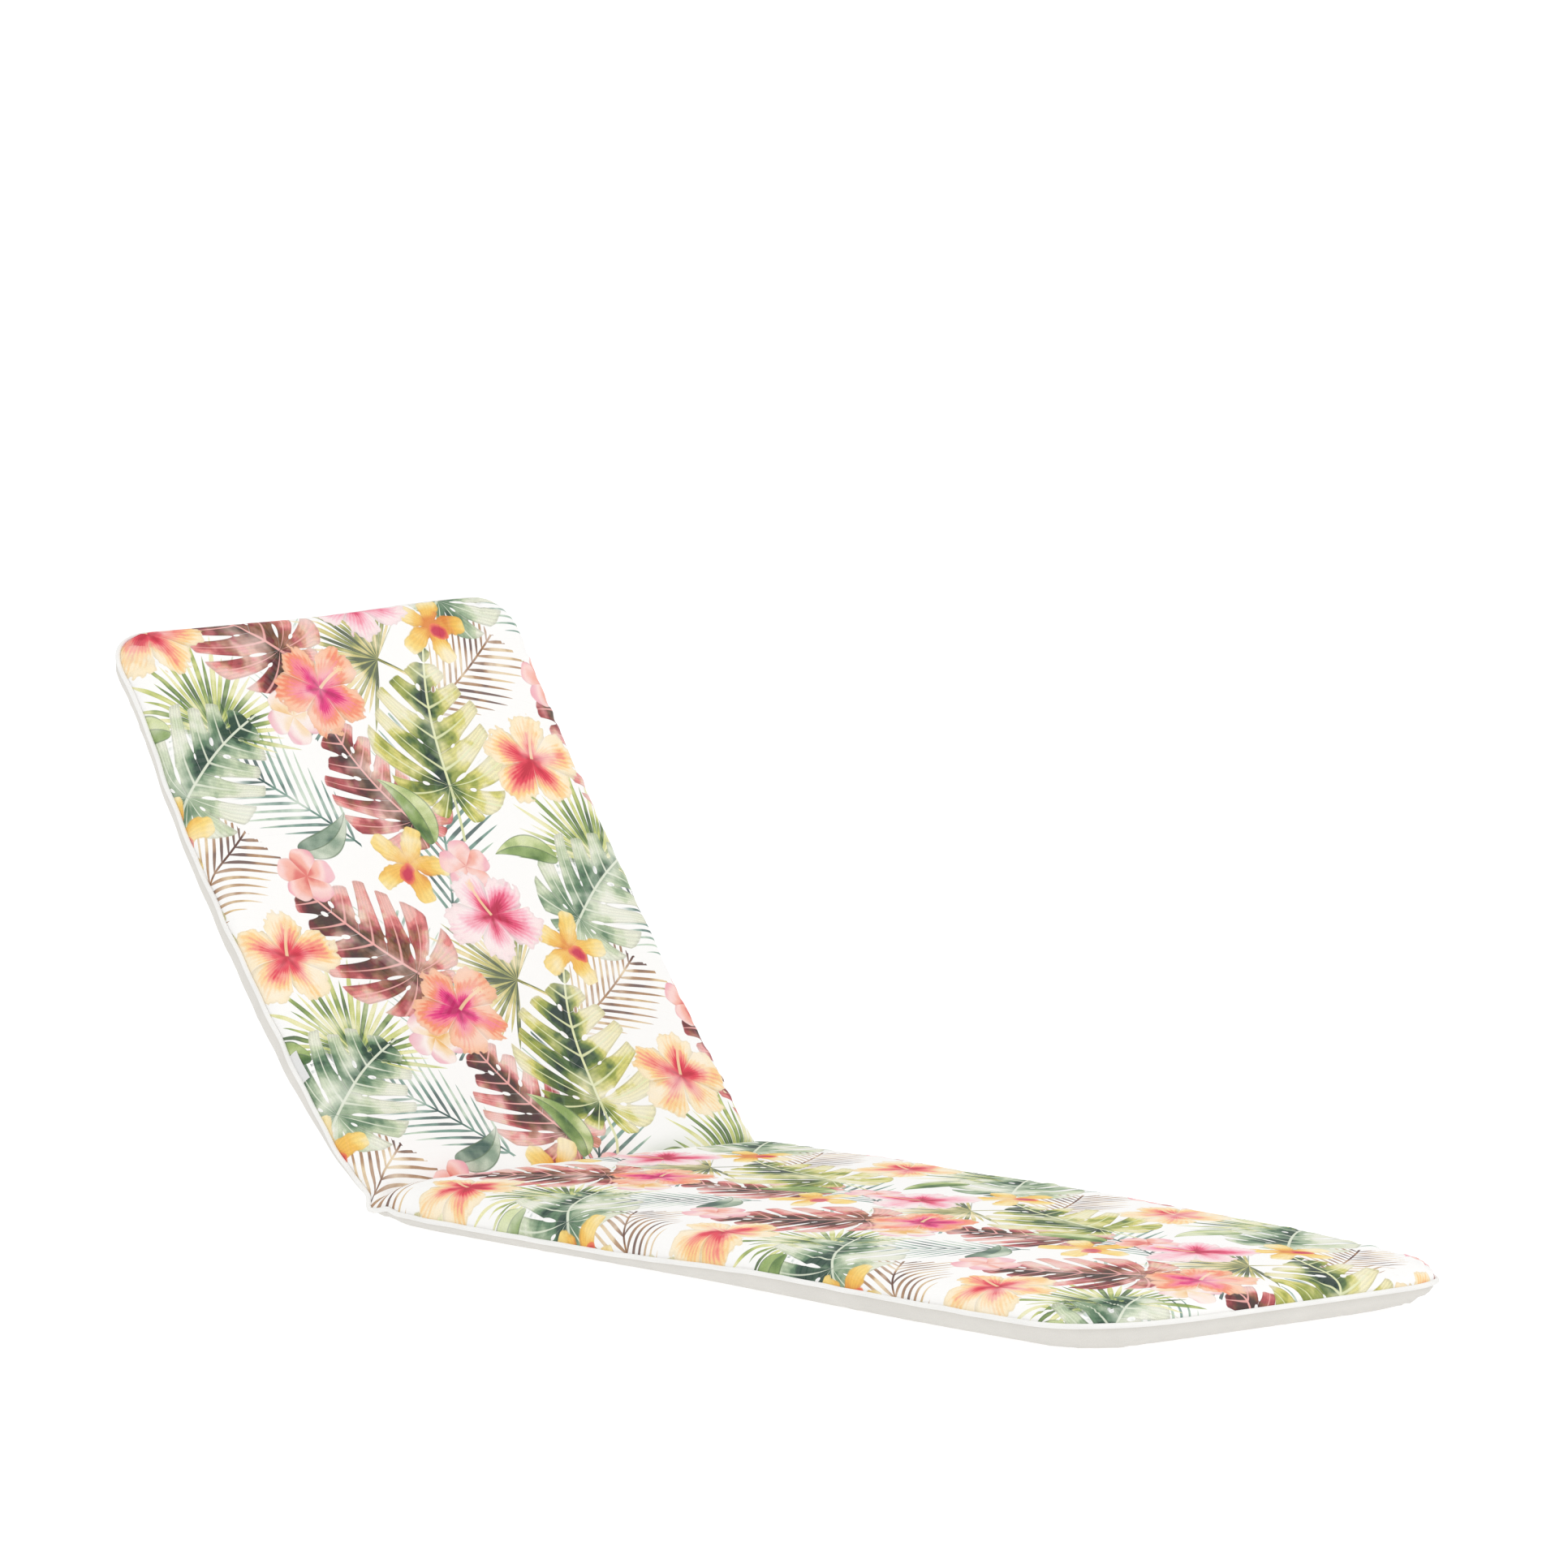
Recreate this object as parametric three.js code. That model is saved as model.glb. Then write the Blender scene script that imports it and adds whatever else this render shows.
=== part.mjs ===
// Sun lounger cushion: a foam pad in two sections, back and seat, bent as on a lounger with its back raised.
// Millimetres, +Z up. +X runs from the hinge to the foot end and +Y to the sitter's left. The seat lies flat
// on the surface, and the back rises behind it. The origin is the middle of the whole thing's base.
// A place on the cloth is given by s, the length from the hinge line, which is negative on the back, and by
// v, the place across, from -1 at the sitter's right edge to 1 at the left edge.

import * as THREE from 'three';

// Cut of the panels
const WIDTH = 600;
const SEAT_LENGTH = 1200;
const BACK_LENGTH = 800;
const FOOT_CORNER = 90;
const HEAD_CORNER = 55;
const SIDE_DRAW_IN = 2;
const FOOT_NARROWING = 9;
const FOOT_NARROWING_REACH = 350;
const HINGE_PINCH = 7;
const HINGE_PINCH_REACH = 110;

// Filling
const THICKNESS = 51;
const CROWN_ACROSS = 4;
const CROWN_ALONG = 5;
const FOOT_TAPER = 5;
const FOOT_TAPER_REACH = 300;
const SHOULDER = 50;
const SHOULDER_POWER = 3;
const HINGE_NOSE = 55;
const HINGE_THICKNESS_SHARE = 0.15;

// Height of the seam above the under face
const SEAM_AT_HINGE = 16.5;
const SEAM_AT_FOOT = 27;
const SEAM_AT_HEAD = 28;
const BACK_REAR_CROWN = 6;
const SEAT_SEAM_RISE_START = 400;
const SEAT_SEAM_RISE_LENGTH = 340;
const BACK_SEAM_RISE_LENGTH = 250;

// Bend
const BACK_ANGLE = THREE.MathUtils.degToRad(52.5);
const BACK_TWIST = THREE.MathUtils.degToRad(1.2);
const BACK_LEAN = THREE.MathUtils.degToRad(0.4);
const BACK_HOLLOW = 25;
const BEND_REACH = 12;

// Sewn-on pieces
const FIT_GAP = 0.35;
const PIPING_RADIUS = 3;
const PIPING_SIDES = 8;
const LABEL_LENGTH = 38;
const LABEL_HEIGHT = 12;
const LABEL_THICKNESS = 1;
const LABEL_PLACE = 203;
const LABEL_START = 2.2;
const LABEL_STEPS = 6;

// Facets
const ROUND_STEPS = 7;
const NOSE_STEPS = 7;
const SEAT_STEPS = 14;
const BACK_STEPS = 10;
const ACROSS_STEPS = 8;

const COVER_COLOUR = 0xf1efe9;
const PIPING_COLOUR = 0xf6f5f1;
const LABEL_COLOUR = 0xd9d9d6;

const smooth = (t) => THREE.MathUtils.smoothstep(t, 0, 1);

const arch = (t) => 4 * t * (1 - t);

// Section of the cushion, back or seat, that holds the length s
function sectionAt(s) {
  return s < 0
    ? { along: -s, length: BACK_LENGTH, corner: HEAD_CORNER }
    : { along: s, length: SEAT_LENGTH, corner: FOOT_CORNER };
}

// Half of the width at s, before the far corners are rounded
function sideHalf(s) {
  const { along, length } = sectionAt(s);
  const pinch = HINGE_PINCH * (1 - smooth(along / HINGE_PINCH_REACH));
  const narrowing = FOOT_NARROWING * smooth((s - SEAT_LENGTH + FOOT_NARROWING_REACH) / FOOT_NARROWING_REACH);
  return WIDTH / 2 - SIDE_DRAW_IN * arch(along / length) - pinch - narrowing;
}

// Half of the width at s, with the far corners
function halfWidth(s) {
  const { along, length, corner } = sectionAt(s);
  const into = Math.max(0, along - length + corner);
  return sideHalf(s) - corner + Math.sqrt(corner * corner - into * into);
}

// Distance from the seam to a point inside the panels' outline
function edgeDistance(s, across) {
  const { along, length, corner } = sectionAt(s);
  const side = Math.abs(across) - (sideHalf(s) - corner);
  const end = along - (length - corner);
  const outside = Math.hypot(Math.max(side, 0), Math.max(end, 0));
  return Math.max(0, corner - outside - Math.min(Math.max(side, end), 0));
}

// Share of the full depth at a distance from the seam: the round shoulder of the foam
function shoulderShare(distance) {
  const rest = 1 - Math.min(distance / SHOULDER, 1);
  return (1 - rest ** SHOULDER_POWER) ** (1 / SHOULDER_POWER);
}

// Share of the full depth at a distance from the hinge line: the round nose of each section
function noseShare(distance) {
  const rest = 1 - Math.min(distance / HINGE_NOSE, 1);
  return Math.sqrt(1 - rest * rest);
}

// Height of the seam above the under face, before that is crowned
function seamHeight(s) {
  const rise = s < 0
    ? (SEAM_AT_HEAD - SEAM_AT_HINGE) * smooth(-s / BACK_SEAM_RISE_LENGTH)
    : (SEAM_AT_FOOT - SEAM_AT_HINGE) * smooth((s - SEAT_SEAM_RISE_START) / SEAT_SEAM_RISE_LENGTH);
  return SEAM_AT_HINGE + rise;
}

// Depth of the filling below the seam: crowned on the back's rear, flat under the seat
function underDepth(s) {
  return seamHeight(s) + (s < 0 ? BACK_REAR_CROWN * arch(-s / BACK_LENGTH) : 0);
}

// Depth of the filling above the seam, with its crown along and across
function topDepth(s, across) {
  const { along, length } = sectionAt(s);
  const crown = CROWN_ALONG * arch(along / length) + CROWN_ACROSS * (1 - (2 * across / WIDTH) ** 2);
  const taper = FOOT_TAPER * smooth((s - SEAT_LENGTH + FOOT_TAPER_REACH) / FOOT_TAPER_REACH);
  return THICKNESS + crown - taper - seamHeight(s);
}

const backAngle = (across) => BACK_ANGLE + BACK_TWIST * across / WIDTH;

// Point at a height above the seam's own surface, with a sharp bend at the hinge line
function bentPoint(s, across, height) {
  if (s >= 0) {
    return new THREE.Vector3(s, across, seamHeight(s) + height);
  }
  const angle = backAngle(across);
  const along = -s * (1 + BACK_LEAN * across / BACK_LENGTH);
  const lift = height - BACK_HOLLOW * arch(-s / BACK_LENGTH);
  const x = lift * Math.sin(angle) - along * Math.cos(angle);
  const z = lift * Math.cos(angle) + along * Math.sin(angle);
  return new THREE.Vector3(x, across + s * BACK_LEAN, SEAM_AT_HINGE + z);
}

// Point of the seam's surface, with the bend at the hinge line rounded
function seamPoint(s, v) {
  const across = v * halfWidth(s);
  if (Math.abs(s) >= BEND_REACH) {
    return bentPoint(s, across, 0);
  }
  const bend = new THREE.QuadraticBezierCurve3(
    bentPoint(-BEND_REACH, across, 0),
    bentPoint(0, across, 0),
    bentPoint(BEND_REACH, across, 0),
  );
  return bend.getPoint((s + BEND_REACH) / (2 * BEND_REACH));
}

// Direction out of the top face, which turns from the back's to the seat's through the bend
function topDirection(s, v) {
  const turn = backAngle(v * WIDTH / 2) * (1 - smooth((s + BEND_REACH) / (2 * BEND_REACH)));
  return new THREE.Vector3(Math.sin(turn), 0, Math.cos(turn));
}

// Point of the top face. The noses of the two sections press together above the hinge seam, and the valley
// is where they part: halfway between the two sections, at the length from the hinge line that both reach.
function topPoint(s, v) {
  const across = v * halfWidth(s);
  const { along } = sectionAt(s);
  const full = topDepth(s, across) * shoulderShare(edgeDistance(s, across));
  const slope = Math.tan((Math.PI - backAngle(across)) / 2);
  const valley = full > 0 ? (2 / HINGE_NOSE) / (1 / HINGE_NOSE ** 2 + (slope / full) ** 2) : 0;
  const reach = along < HINGE_NOSE ? valley + along * (1 - valley / HINGE_NOSE) : along;
  const height = full * noseShare(reach);
  const rounding = seamPoint(s, v).sub(bentPoint(s, across, 0));
  return bentPoint(s < 0 ? -reach : reach, across, height).add(rounding);
}

// Point of the under face, drawn up to the seam at the rim and along the hinge line
function underPoint(s, v) {
  const across = v * halfWidth(s);
  const nose = HINGE_THICKNESS_SHARE + (1 - HINGE_THICKNESS_SHARE) * noseShare(sectionAt(s).along);
  const depth = underDepth(s) * shoulderShare(edgeDistance(s, across)) * nose;
  return seamPoint(s, v).addScaledVector(topDirection(s, v), -depth);
}

// Evenly turned steps round the shoulder, as distances from the seam
function shoulderStations() {
  return Array.from({ length: ROUND_STEPS + 1 }, (_, i) => {
    const turn = (Math.PI / 2) * (i / ROUND_STEPS);
    return i === ROUND_STEPS ? SHOULDER : SHOULDER * (1 - Math.cos(turn) ** (2 / SHOULDER_POWER));
  });
}

// Lengths from the hinge line to the far end of a section: nose, flat and shoulder
function lengthStations(length, flatSteps) {
  const nose = Array.from({ length: NOSE_STEPS }, (_, i) => (
    HINGE_NOSE * (1 - Math.cos((Math.PI / 2) * (i / NOSE_STEPS)))
  ));
  const flat = length - SHOULDER - HINGE_NOSE;
  const middle = Array.from({ length: flatSteps }, (_, i) => HINGE_NOSE + flat * (i / flatSteps));
  const shoulder = shoulderStations().reverse().map((distance) => length - distance);
  return [...nose, ...middle, ...shoulder];
}

// Places across, from edge to edge: shoulder, flat and shoulder
function acrossStations() {
  const left = shoulderStations().reverse().map((distance) => 1 - distance / (WIDTH / 2));
  const right = left.map((v) => -v).reverse();
  const middle = Array.from({ length: ACROSS_STEPS - 1 }, (_, i) => (
    left[0] * (2 * (i + 1) / ACROSS_STEPS - 1)
  ));
  return [...right, ...middle, ...left];
}

const LENGTHS = [
  ...lengthStations(BACK_LENGTH, BACK_STEPS).slice(1).map((along) => -along).reverse(),
  ...lengthStations(SEAT_LENGTH, SEAT_STEPS),
];
const PLACES = acrossStations();

// Closed mesh from points and triangles, with its own face normals
function solid(name, points, triangles, material) {
  const geometry = new THREE.BufferGeometry();
  geometry.setAttribute('position', new THREE.Float32BufferAttribute(points.flatMap((p) => p.toArray()), 3));
  geometry.setIndex(triangles);
  geometry.computeVertexNormals();
  const mesh = new THREE.Mesh(geometry, material);
  mesh.name = name;
  return mesh;
}

// The filled pad: a top face and an under face that share the points of the seam
function makeCushion() {
  const points = [];
  const triangles = [];
  const lastRow = LENGTHS.length - 1;
  const lastColumn = PLACES.length - 1;
  const onSeam = (row, column) => row % lastRow === 0 || column % lastColumn === 0;
  const addFace = (place, seam) => LENGTHS.map((s, row) => PLACES.map((v, column) => {
    if (onSeam(row, column)) {
      return seam(row, column, s, v);
    }
    return points.push(place(s, v)) - 1;
  }));
  const top = addFace(topPoint, (row, column, s, v) => points.push(seamPoint(s, v)) - 1);
  const under = addFace(underPoint, (row, column) => top[row][column]);
  for (let row = 0; row < lastRow; row += 1) {
    for (let column = 0; column < lastColumn; column += 1) {
      const corners = (face) => [
        face[row][column], face[row + 1][column], face[row + 1][column + 1], face[row][column + 1],
      ];
      const [a, b, c, d] = corners(top);
      triangles.push(a, b, c, a, c, d);
      const [e, f, g, h] = corners(under);
      triangles.push(e, g, f, e, h, g);
    }
  }
  const material = new THREE.MeshStandardMaterial({ color: COVER_COLOUR, roughness: 0.9, metalness: 0 });
  return solid('cushion', points, triangles, material);
}

// Round the seam, from the head end down the right edge, across the foot, up the left edge and across the head
function seamLoop() {
  const [first, last] = [LENGTHS[0], LENGTHS[LENGTHS.length - 1]];
  const right = LENGTHS.map((s) => [s, -1]);
  const foot = PLACES.slice(1, -1).map((v) => [last, v]);
  const left = [...LENGTHS].reverse().map((s) => [s, 1]);
  const head = PLACES.slice(1, -1).reverse().map((v) => [first, v]);
  return [...right, ...foot, ...left, ...head];
}

// The piping: a round cord in cloth that lies against the seam all the way round
function makePiping() {
  const loop = seamLoop();
  const seam = loop.map(([s, v]) => seamPoint(s, v));
  const offset = PIPING_RADIUS + FIT_GAP;
  const points = [];
  const triangles = [];
  loop.forEach(([s, v], i) => {
    const before = seam[i].clone().sub(seam[(i + loop.length - 1) % loop.length]).normalize();
    const after = seam[(i + 1) % loop.length].clone().sub(seam[i]).normalize();
    const tangent = before.clone().add(after).normalize();
    const outward = tangent.clone().cross(topDirection(s, v)).normalize();
    const up = outward.clone().cross(tangent);
    const centre = seam[i].clone().addScaledVector(outward, offset / tangent.dot(after));
    for (let side = 0; side < PIPING_SIDES; side += 1) {
      const turn = (2 * Math.PI * (side + 0.5)) / PIPING_SIDES;
      const point = centre.clone();
      point.addScaledVector(outward, PIPING_RADIUS * Math.cos(turn));
      point.addScaledVector(up, PIPING_RADIUS * Math.sin(turn));
      points.push(point);
      const nextRing = ((i + 1) % loop.length) * PIPING_SIDES;
      const ring = i * PIPING_SIDES;
      const nextSide = (side + 1) % PIPING_SIDES;
      triangles.push(ring + side, nextRing + side, nextRing + nextSide);
      triangles.push(ring + side, nextRing + nextSide, ring + nextSide);
    }
  });
  const material = new THREE.MeshStandardMaterial({ color: PIPING_COLOUR, roughness: 0.85, metalness: 0 });
  return solid('piping', points, triangles, material);
}

// The folded label: it comes out of the back's right seam above the piping and lies up the round shoulder
function makeLabel() {
  const nearEnd = -(LABEL_PLACE - LABEL_LENGTH / 2);
  const start = seamPoint(nearEnd, -1);
  const end = seamPoint(nearEnd - LABEL_LENGTH, -1);
  const lengthwise = end.clone().sub(start).normalize();
  const outward = new THREE.Vector3(0, -1, 0).projectOnPlane(lengthwise).normalize();
  const up = lengthwise.clone().cross(outward);
  const depth = topDepth(nearEnd, WIDTH / 2);
  const wall = (height) => {
    const share = (1 - (height / depth) ** SHOULDER_POWER) ** (1 / SHOULDER_POWER);
    return FIT_GAP - SHOULDER * (1 - share);
  };
  const heights = Array.from({ length: LABEL_STEPS + 1 }, (_, i) => (
    LABEL_START + LABEL_HEIGHT * (i / LABEL_STEPS)
  ));
  const inner = heights.map((height) => new THREE.Vector2(wall(height), height));
  const outer = heights.map((height) => new THREE.Vector2(wall(height) + LABEL_THICKNESS, height));
  const section = new THREE.Shape([...outer, ...inner.reverse()]);
  const geometry = new THREE.ExtrudeGeometry(section, { depth: LABEL_LENGTH, bevelEnabled: false });
  const material = new THREE.MeshStandardMaterial({ color: LABEL_COLOUR, roughness: 0.45, metalness: 0 });
  const mesh = new THREE.Mesh(geometry, material);
  mesh.name = 'side_label';
  const placing = new THREE.Matrix4().makeBasis(outward, up, lengthwise).setPosition(start);
  mesh.applyMatrix4(placing);
  return mesh;
}

const lounger_cushion = new THREE.Group();
lounger_cushion.add(makeCushion(), makePiping(), makeLabel());

// The hinge line's middle is where the pieces are drawn. The base's middle becomes the origin.
const box = new THREE.Box3().setFromObject(lounger_cushion, true);
const middle = box.getCenter(new THREE.Vector3());
lounger_cushion.position.set(-middle.x, -middle.y, -box.min.z);

export default lounger_cushion;
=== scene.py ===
"""Sun lounger cushion: printed cover, plain under cover, piping, label and stitches round the solids.

A place on the cloth is s, the length from the hinge line, negative on the back, and v, the place across.
The camera's side is v = -1, the sitter's right edge, and the far side is v = 1.
"""

import math

import bpy
import numpy as np
from mathutils import Matrix, Vector
from numpy.linalg import norm


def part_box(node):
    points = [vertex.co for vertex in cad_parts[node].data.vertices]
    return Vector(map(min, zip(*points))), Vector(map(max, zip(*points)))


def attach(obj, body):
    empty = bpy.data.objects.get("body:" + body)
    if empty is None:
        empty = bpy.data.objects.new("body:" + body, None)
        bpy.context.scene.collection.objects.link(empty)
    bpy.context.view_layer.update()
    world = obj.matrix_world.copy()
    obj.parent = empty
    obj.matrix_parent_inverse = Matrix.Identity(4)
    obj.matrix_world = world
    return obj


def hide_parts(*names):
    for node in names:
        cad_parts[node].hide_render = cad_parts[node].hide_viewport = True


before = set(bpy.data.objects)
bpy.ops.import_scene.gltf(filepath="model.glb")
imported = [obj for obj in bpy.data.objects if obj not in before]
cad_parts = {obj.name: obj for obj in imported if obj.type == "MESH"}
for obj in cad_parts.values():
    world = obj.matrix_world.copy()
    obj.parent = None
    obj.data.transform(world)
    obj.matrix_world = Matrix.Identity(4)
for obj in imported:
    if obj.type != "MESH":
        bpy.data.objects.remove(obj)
scene = bpy.context.scene
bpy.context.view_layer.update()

# Cut of the panels, in metres, as in the solids
WIDTH = 0.600
SEAT_LENGTH = 1.200
BACK_LENGTH = 0.800
FOOT_CORNER = 0.090
HEAD_CORNER = 0.055
SIDE_DRAW_IN = 0.002
FOOT_NARROWING = 0.009
FOOT_NARROWING_REACH = 0.350
HINGE_PINCH = 0.007
HINGE_PINCH_REACH = 0.110

# Filling
THICKNESS = 0.051
CROWN_ACROSS = 0.004
CROWN_ALONG = 0.005
FOOT_TAPER = 0.005
FOOT_TAPER_REACH = 0.300
SHOULDER = 0.050
SHOULDER_POWER = 3
HINGE_NOSE = 0.055
HINGE_THICKNESS_SHARE = 0.15
SEAM_AT_HINGE = 0.0165
SEAM_AT_FOOT = 0.027
SEAM_AT_HEAD = 0.028
BACK_REAR_CROWN = 0.006
SEAT_SEAM_RISE_START = 0.400
SEAT_SEAM_RISE_LENGTH = 0.340
BACK_SEAM_RISE_LENGTH = 0.250

# Bend
BACK_ANGLE = math.radians(52.5)
BACK_TWIST = math.radians(1.2)
BACK_LEAN = math.radians(0.4)
BACK_HOLLOW = 0.025
BEND_REACH = 0.012

PIPING_RADIUS = 0.003
PIPING_SEATING = 0.0007
PIPING_SIDES = 12

# Label, sewn into the back's seam at the camera's side
LABEL_NEAR = 0.184
LABEL_FAR = 0.222
LABEL_FOOT = 0.0022
LABEL_TOP = 0.0142
LABEL_THICKNESS = 0.0007
LABEL_LIFT = 0.0003
LABEL_CURL = 0.0006
LABEL_ROWS = 13
LABEL_COLUMNS = 6

# Stitches through the hinge, seen from below
STITCH_LENGTH = 0.0040
STITCH_GAP = 0.0016
STITCH_RADIUS = 0.00035
STITCH_SIDES = 6
STITCH_RINGS = 5
STITCHES_FROM_SIDES = 0.015
STITCH_SINK = 0.35
STITCH_END_SHARE = 0.55

# The hinge line's middle on the floor. The back leans to the far side, which moves the part's middle
HINGE_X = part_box("cushion")[1].x - SEAT_LENGTH
HINGE_Y = 0.002665

# Cover mesh: cells of about 4 mm on the top, and twice that on the under side
BACK_ROWS = 192
SEAT_ROWS = 288
COLUMNS = 150
DENSE = 6001
TINY = 1e-9
# Where the back's points start at the hinge line. The seat's start at 0
BACK_START = -1e-6

# Filling of the back that has settled: middle s, reach, and how far the face stands forward there
SETTLED_FAR = ((-0.42, 0.22, 0.0085), (-0.07, 0.05, -0.0060))
SETTLED_NEAR = ((-0.69, 0.09, 0.0075), (-0.18, 0.13, -0.0028))
SETTLED_START = 0.06
SEAM_FORWARD = ((-0.25, 0.16, 0.0030),)
SEAM_FORWARD_WIDTH = 0.014
FULLER_NEAR = ((-0.27, 0.16, 0.0022),)
FAR_LONGER = 0.0095
EAR_LONGER = 0.0015

# Corners that are drawn in or stand out as ears. A spot is the end and the side that it lies at,
# its distances in from that end and that side, and its reach. A move is along x, y and z
HEAD = -1
FOOT = 1
NEAR = -1
FAR = 1
HEAD_EAR = (HEAD, NEAR, 0.016, 0.016, 0.033)
FOOT_FAR_CORNER = (FOOT, FAR, 0, 0, 0.075)
FACE_MOVES = (
    (HEAD_EAR, (0, -0.0080, 0)),
    ((FOOT, FAR, 0.030, 0.036, 0.085), (-0.0040, -0.0050, 0)),
)
SEAM_MOVES = (
    ((FOOT, NEAR, 0.042, 0.030, 0.038), (0.0022, -0.0040, 0)),
    ((FOOT, NEAR, 0.020, 0.055, 0.075), (0, 0, 0.0030)),
    ((FOOT, FAR, 0.016, 0.018, 0.032), (0.0035, 0.0050, -0.0035)),
)
SEAM_MOVE_WIDTH = 0.028
UNDER_RAISED = 0.0140

# Fold of the piping where the hinge is sewn through: middle s, reach, and its moves along x, outward and up
HINGE_FOLDS = (
    (0, 0.011, (-0.0030, 0.0046, -0.0024)),
    (-0.025, 0.013, (0.0040, -0.0012, 0)),
    (0.025, 0.013, (0, -0.0012, 0.0032)),
)
WAVER = 0.0007
SEAT_EDGE_LIFT = ((0.52, 0.24, 0.0022),)

# Heights of the cloth's unevenness: filling, puckers along the seam, more of them at the corners, and
# gathers at the hinge. The plain under cover is drawn tight but for its corners
TOP_UNEVENNESS = (0.0010, 0.0009, 0.0019, 0.0012)
UNDER_UNEVENNESS = (0.0005, 0.0002, 0.0015, 0.0005)


def smooth(t):
    t = np.clip(t, 0, 1)
    return t * t * (3 - 2 * t)


def arch(t):
    return 4 * t * (1 - t)


def section_at(s):
    """Length from the hinge line, and the section's own length and corner radius."""
    back = s < 0
    return np.abs(s), np.where(back, BACK_LENGTH, SEAT_LENGTH), np.where(back, HEAD_CORNER, FOOT_CORNER)


def side_half(s):
    """Half of the width at s, before the far corners are rounded."""
    along, length, _ = section_at(s)
    pinch = HINGE_PINCH * (1 - smooth(along / HINGE_PINCH_REACH))
    narrowing = FOOT_NARROWING * smooth((s - SEAT_LENGTH + FOOT_NARROWING_REACH) / FOOT_NARROWING_REACH)
    return WIDTH / 2 - SIDE_DRAW_IN * arch(along / length) - pinch - narrowing


def half_width(s):
    along, length, corner = section_at(s)
    into = np.clip(along - length + corner, 0, corner)
    return side_half(s) - corner + np.sqrt(corner ** 2 - into ** 2)


def past_corner(s, across):
    """How far a point lies past the start of its corner's round, to the side and to the end."""
    along, length, corner = section_at(s)
    return np.abs(across) - (side_half(s) - corner), along - (length - corner)


def edge_distance(s, across):
    """Distance from the seam to a point inside the panels' outline."""
    side, end = past_corner(s, across)
    outside = np.hypot(np.maximum(side, 0), np.maximum(end, 0))
    return np.maximum(0, section_at(s)[2] - outside - np.minimum(np.maximum(side, end), 0))


def shoulder_share(distance):
    rest = 1 - np.minimum(distance / SHOULDER, 1)
    return (1 - rest ** SHOULDER_POWER) ** (1 / SHOULDER_POWER)


def nose_share(distance):
    rest = 1 - np.minimum(distance / HINGE_NOSE, 1)
    return np.sqrt(1 - rest ** 2)


def seam_height(s):
    """Height of the seam above the under face, before that is crowned."""
    on_back = (SEAM_AT_HEAD - SEAM_AT_HINGE) * smooth(-s / BACK_SEAM_RISE_LENGTH)
    on_seat = (SEAM_AT_FOOT - SEAM_AT_HINGE) * smooth((s - SEAT_SEAM_RISE_START) / SEAT_SEAM_RISE_LENGTH)
    return SEAM_AT_HINGE + np.where(s < 0, on_back, on_seat)


def under_depth(s):
    return seam_height(s) + np.where(s < 0, BACK_REAR_CROWN * arch(-s / BACK_LENGTH), 0)


def top_depth(s, across):
    along, length, _ = section_at(s)
    crown = CROWN_ALONG * arch(along / length) + CROWN_ACROSS * (1 - (2 * across / WIDTH) ** 2)
    taper = FOOT_TAPER * smooth((s - SEAT_LENGTH + FOOT_TAPER_REACH) / FOOT_TAPER_REACH)
    return THICKNESS + crown - taper - seam_height(s)


def back_angle(across):
    return BACK_ANGLE + BACK_TWIST * across / WIDTH


def bent_point(s, across, height):
    """Point at a height above the seam's own surface, with a sharp bend at the hinge line."""
    angle = back_angle(across)
    along = -s * (1 + BACK_LEAN * across / BACK_LENGTH)
    lift = height - BACK_HOLLOW * arch(-s / BACK_LENGTH)
    back = s < 0
    raised = SEAM_AT_HINGE + lift * np.cos(angle) + along * np.sin(angle)
    x = np.where(back, lift * np.sin(angle) - along * np.cos(angle), s)
    y = np.where(back, across + s * BACK_LEAN, across)
    z = np.where(back, raised, seam_height(s) + height)
    return np.stack([x + HINGE_X, y + HINGE_Y, z], -1)


def seam_point(s, v):
    """Point of the seam's surface, with the bend at the hinge line rounded."""
    across = v * half_width(s)
    t = np.clip((s + BEND_REACH) / (2 * BEND_REACH), 0, 1)[..., None]
    start = bent_point(np.full_like(s, -BEND_REACH), across, 0)
    middle = bent_point(np.zeros_like(s), across, 0)
    end = bent_point(np.full_like(s, BEND_REACH), across, 0)
    bend = (1 - t) ** 2 * start + 2 * t * (1 - t) * middle + t ** 2 * end
    return np.where((np.abs(s) < BEND_REACH)[..., None], bend, bent_point(s, across, 0))


def top_direction(s, v):
    turn = back_angle(v * WIDTH / 2) * (1 - smooth((s + BEND_REACH) / (2 * BEND_REACH)))
    return np.stack([np.sin(turn), np.zeros_like(turn), np.cos(turn)], -1)


def top_point(s, v):
    """Point of the top face. The two noses press together above the hinge seam, down to the valley."""
    across = v * half_width(s)
    along = np.abs(s)
    full = top_depth(s, across) * shoulder_share(edge_distance(s, across))
    slope = np.tan((math.pi - back_angle(across)) / 2)
    valley = (2 / HINGE_NOSE) / (1 / HINGE_NOSE ** 2 + (slope / np.maximum(full, TINY)) ** 2)
    reach = np.where(along < HINGE_NOSE, valley + along * (1 - valley / HINGE_NOSE), along)
    rounding = seam_point(s, v) - bent_point(s, across, 0)
    # A seat point at s = 0 is the valley itself, and minus zero keeps the back's points on the back
    return bent_point(np.where(s < 0, -reach, reach), across, full * nose_share(reach)) + rounding


def middle_line(s):
    return top_point(s, np.zeros_like(s))


def under_point(s, v):
    across = v * half_width(s)
    nose = HINGE_THICKNESS_SHARE + (1 - HINGE_THICKNESS_SHARE) * nose_share(np.abs(s))
    depth = under_depth(s) * shoulder_share(edge_distance(s, across)) * nose
    return seam_point(s, v) - depth[..., None] * top_direction(s, v)


def bump(distance, reach):
    return np.exp(-(distance / reach) ** 2)


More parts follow.
